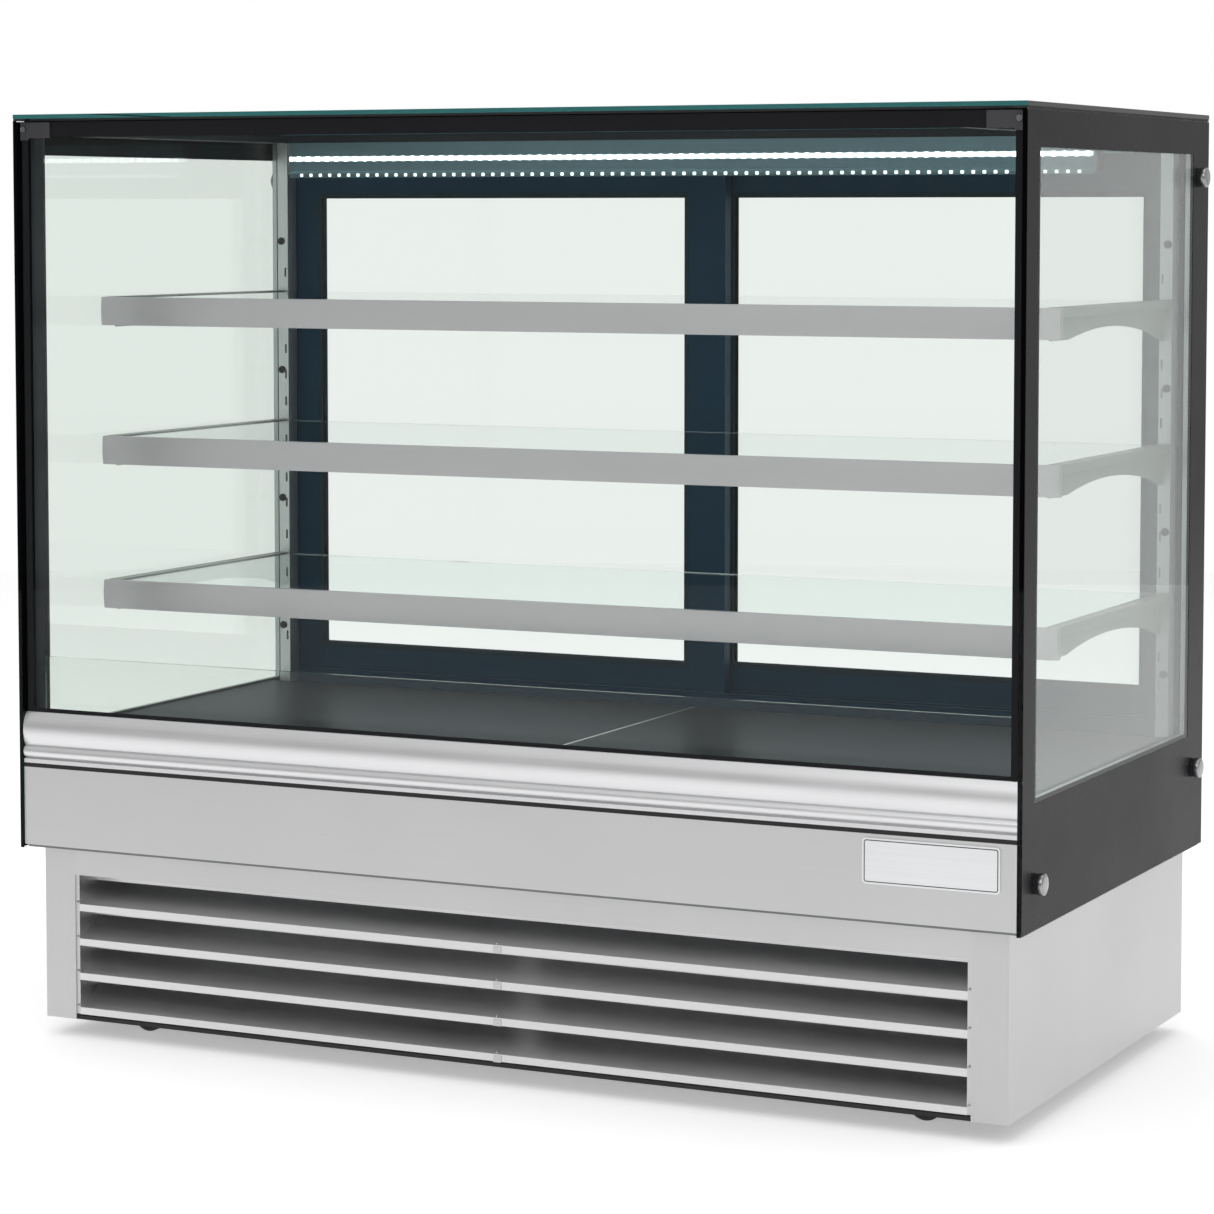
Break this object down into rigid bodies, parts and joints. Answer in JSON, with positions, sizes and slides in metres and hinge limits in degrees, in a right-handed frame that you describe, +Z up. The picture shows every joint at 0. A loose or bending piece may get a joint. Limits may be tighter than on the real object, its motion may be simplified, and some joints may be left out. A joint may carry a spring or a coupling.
{
  "type": "refrigerated deli case",
  "caption": "Square-glass refrigerated display case on casters, with lit glass shelves, a louvred stainless base and rear sliding doors.",
  "frame": {"origin": "on the floor, under the middle of the case's bounding box", "axes": "+X to the right end seen from the front, front faces -Y, +Z up"},
  "size_m": [1.524, 0.77, 1.31],
  "materials": {
    "stainless": "brushed",
    "galvanised": "satin",
    "satin_aluminium": "satin",
    "clear_glass": "clear",
    "printed_glass": "black printed border",
    "tinted_glass": "tinted",
    "black_metal": "satin",
    "black_frame": "anodised black",
    "door_metal": "anodised dark blue",
    "black_rubber": "matte",
    "cap_metal": "polished",
    "plate_metal": "satin",
    "badge_metal": "satin",
    "spacer_metal": "perforated",
    "well_steel": "thin metal skins over foam, taken as one light solid",
    "deck_steel": "polished",
    "lamp_white": "lit diffuser",
    "fin_aluminium": "fins",
    "copper": "bare",
    "black_plastic": "moulded",
    "caster_rubber": "moulded"
  },
  "bodies": {
    "cabinet": {"badge_plate": "badge_metal", "base_header": "stainless", "base_left_panel": "stainless", "base_pan": "black_metal", "base_rear_panel": "galvanised", "base_right_panel": "stainless", "bumper_moulding": "satin_aluminium", "compressor": "black_metal", "condensate_tray": "galvanised", "condenser_coil": "fin_aluminium", "condenser_fan_motor": "black_metal", "condenser_fan_shroud": "galvanised", "control_panel": "black_plastic", "cord_gland": "black_plastic", "corner_plates": "plate_metal", "corner_posts": "black_frame", "corner_screws": "cap_metal", "deck_panels": "deck_steel", "door_tracks": "door_metal", "evaporator_coil": "fin_aluminium", "evaporator_fan_housing": "black_plastic", "fascia_panel": "stainless", "fascia_seal": "black_rubber", "front_glass": "clear_glass", "grille_frame": "galvanised", "inner_panes": "clear_glass", "insulated_well": "well_steel", "louvre_blades": "stainless", "outer_panes": "printed_glass", "pane_caps": "cap_metal", "pane_spacers": "spacer_metal", "pane_washers": "black_rubber", "refrigerant_pipes": "copper", "riser_glass": "clear_glass", "shelf_brackets": "stainless", "shelf_glasses": "clear_glass", "shelf_lamps": "lamp_white", "shelf_rails": "satin_aluminium", "top_frame": "black_frame", "top_glass": "tinted_glass", "top_lamp": "lamp_white", "top_seal": "black_rubber", "upright_plugs": "black_plastic", "uprights": "satin_aluminium"},
    "left_door": {"left_door_frame": "door_metal", "left_door_glass": "clear_glass"},
    "right_door": {"right_door_frame": "door_metal", "right_door_glass": "clear_glass"},
    "condenser_fan": {"condenser_fan_blade": "black_plastic"},
    "evaporator_fan": {"evaporator_fan_blade": "black_plastic"},
    "power_rocker": {"power_switch": "black_plastic"},
    "lamp_rocker": {"lamp_switch": "black_plastic"},
    "caster_front_left": {"caster_fork_front_left": "galvanised"},
    "wheel_front_left": {"caster_wheel_front_left": "caster_rubber"},
    "caster_front_right": {"caster_fork_front_right": "galvanised"},
    "wheel_front_right": {"caster_wheel_front_right": "caster_rubber"},
    "caster_rear_left": {"caster_fork_rear_left": "galvanised"},
    "wheel_rear_left": {"caster_wheel_rear_left": "caster_rubber"},
    "caster_rear_right": {"caster_fork_rear_right": "galvanised"},
    "wheel_rear_right": {"caster_wheel_rear_right": "caster_rubber"}
  },
  "joints": [
    {"name": "left_door_slide", "type": "slide", "parent": "cabinet", "child": "left_door", "axis": [1, 0, 0], "range_m": [0, 0.64]},
    {"name": "right_door_slide", "type": "slide", "parent": "cabinet", "child": "right_door", "axis": [1, 0, 0], "range_m": [-0.64, 0]},
    {"name": "condenser_fan_spin", "type": "hinge", "parent": "cabinet", "child": "condenser_fan", "pos_m": [-0.41, -0.176, 0.163], "axis": [0, 1, 0], "continuous": true},
    {"name": "evaporator_fan_spin", "type": "hinge", "parent": "cabinet", "child": "evaporator_fan", "pos_m": [0, -0.004, 0.362], "axis": [0, 1, 0], "continuous": true},
    {"name": "power_switch_tilt", "type": "hinge", "parent": "cabinet", "child": "power_rocker", "pos_m": [0.413, 0.367, 0.195], "axis": [1, 0, 0], "range_deg": [-7, 7]},
    {"name": "lamp_switch_tilt", "type": "hinge", "parent": "cabinet", "child": "lamp_rocker", "pos_m": [0.459, 0.367, 0.195], "axis": [1, 0, 0], "range_deg": [-7, 7]},
    {"name": "caster_swivel_front_left", "type": "hinge", "parent": "cabinet", "child": "caster_front_left", "pos_m": [-0.585, -0.275, 0.07], "axis": [0, 0, 1], "continuous": true},
    {"name": "wheel_roll_front_left", "type": "hinge", "parent": "caster_front_left", "child": "wheel_front_left", "pos_m": [-0.605, -0.275, 0.025], "axis": [0, 1, 0], "continuous": true},
    {"name": "caster_swivel_front_right", "type": "hinge", "parent": "cabinet", "child": "caster_front_right", "pos_m": [0.605, -0.275, 0.07], "axis": [0, 0, 1], "continuous": true},
    {"name": "wheel_roll_front_right", "type": "hinge", "parent": "caster_front_right", "child": "wheel_front_right", "pos_m": [0.585, -0.275, 0.025], "axis": [0, 1, 0], "continuous": true},
    {"name": "caster_swivel_rear_left", "type": "hinge", "parent": "cabinet", "child": "caster_rear_left", "pos_m": [-0.585, 0.275, 0.07], "axis": [0, 0, 1], "continuous": true},
    {"name": "wheel_roll_rear_left", "type": "hinge", "parent": "caster_rear_left", "child": "wheel_rear_left", "pos_m": [-0.605, 0.275, 0.025], "axis": [0, 1, 0], "continuous": true},
    {"name": "caster_swivel_rear_right", "type": "hinge", "parent": "cabinet", "child": "caster_rear_right", "pos_m": [0.605, 0.275, 0.07], "axis": [0, 0, 1], "continuous": true},
    {"name": "wheel_roll_rear_right", "type": "hinge", "parent": "caster_rear_right", "child": "wheel_rear_right", "pos_m": [0.585, 0.275, 0.025], "axis": [0, 1, 0], "continuous": true}
  ]
}
